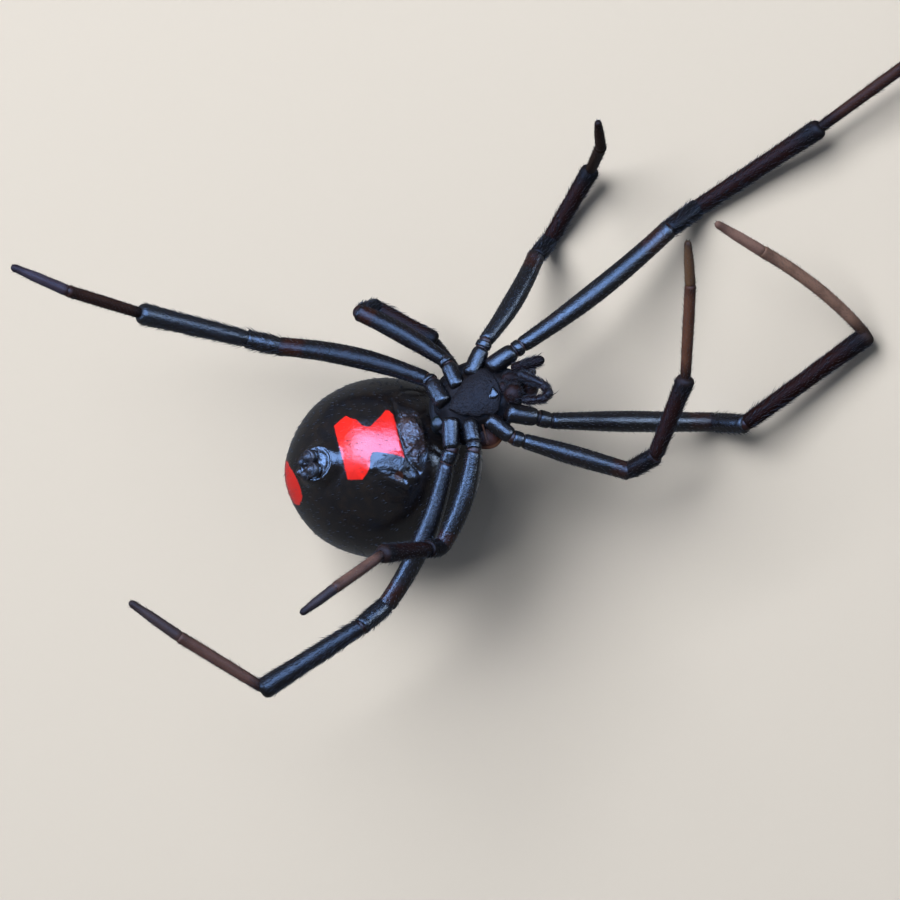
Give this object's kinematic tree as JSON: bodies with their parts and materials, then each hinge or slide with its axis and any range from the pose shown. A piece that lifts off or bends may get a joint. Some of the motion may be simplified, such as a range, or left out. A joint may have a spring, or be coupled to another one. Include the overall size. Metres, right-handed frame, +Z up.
{
  "type": "black widow spider",
  "caption": "Life-size still model of a black widow spider lying belly up, with its legs spread and the red hourglass showing.",
  "frame": {"origin": "middle of the bottom of the part's box, on the floor that the spider rests on", "axes": "+X towards the head end and the longest reach of the legs, +Y to the spider's right side, +Z up out of its belly"},
  "size_m": [0.039, 0.029, 0.0143],
  "materials": {
    "black_cuticle": "glossy black, finely grained",
    "brown_black_cuticle": "glossy brown-black",
    "red_brown_cuticle": "satin dark red-brown",
    "amber_cuticle": "satin amber-brown"
  },
  "bodies": {
    "root": {"leg_right_1_coxa": "black_cuticle", "leg_right_1_femur": "black_cuticle", "leg_right_1_patella": "black_cuticle", "leg_right_1_tibia": "brown_black_cuticle", "leg_right_1_metatarsus": "red_brown_cuticle", "leg_right_1_tarsus": "brown_black_cuticle", "leg_right_2_coxa": "black_cuticle", "leg_right_2_femur": "black_cuticle", "leg_right_2_patella": "black_cuticle", "leg_right_2_tibia": "brown_black_cuticle", "leg_right_2_metatarsus": "red_brown_cuticle", "leg_right_2_tarsus": "brown_black_cuticle", "leg_right_3_coxa": "black_cuticle", "leg_right_3_femur": "black_cuticle", "leg_right_3_patella": "black_cuticle", "leg_right_3_tibia": "brown_black_cuticle", "leg_right_3_metatarsus": "red_brown_cuticle", "leg_right_3_tarsus": "brown_black_cuticle", "leg_right_4_coxa": "black_cuticle", "leg_right_4_femur": "black_cuticle", "leg_right_4_patella": "black_cuticle", "leg_right_4_tibia": "brown_black_cuticle", "leg_right_4_metatarsus": "red_brown_cuticle", "leg_right_4_tarsus": "brown_black_cuticle", "leg_left_1_coxa": "black_cuticle", "leg_left_1_femur": "black_cuticle", "leg_left_1_patella": "black_cuticle", "leg_left_1_tibia": "brown_black_cuticle", "leg_left_1_metatarsus": "red_brown_cuticle", "leg_left_1_tarsus": "brown_black_cuticle", "leg_left_2_coxa": "black_cuticle", "leg_left_2_femur": "black_cuticle", "leg_left_2_patella": "black_cuticle", "leg_left_2_tibia": "brown_black_cuticle", "leg_left_2_metatarsus": "red_brown_cuticle", "leg_left_2_tarsus": "brown_black_cuticle", "leg_left_3_coxa": "black_cuticle", "leg_left_3_femur": "black_cuticle", "leg_left_3_patella": "black_cuticle", "leg_left_3_tibia": "brown_black_cuticle", "leg_left_3_metatarsus": "red_brown_cuticle", "leg_left_3_tarsus": "brown_black_cuticle", "leg_left_4_coxa": "black_cuticle", "leg_left_4_femur": "black_cuticle", "leg_left_4_patella": "black_cuticle", "leg_left_4_tibia": "brown_black_cuticle", "leg_left_4_metatarsus": "red_brown_cuticle", "leg_left_4_tarsus": "brown_black_cuticle", "prosoma": "black_cuticle", "abdomen": "black_cuticle", "spinnerets": "brown_black_cuticle", "pedicel": "brown_black_cuticle", "jaw_right": "brown_black_cuticle", "jaw_left": "brown_black_cuticle", "feeler_right": "amber_cuticle", "feeler_left": "amber_cuticle"}
  },
  "joints": []
}
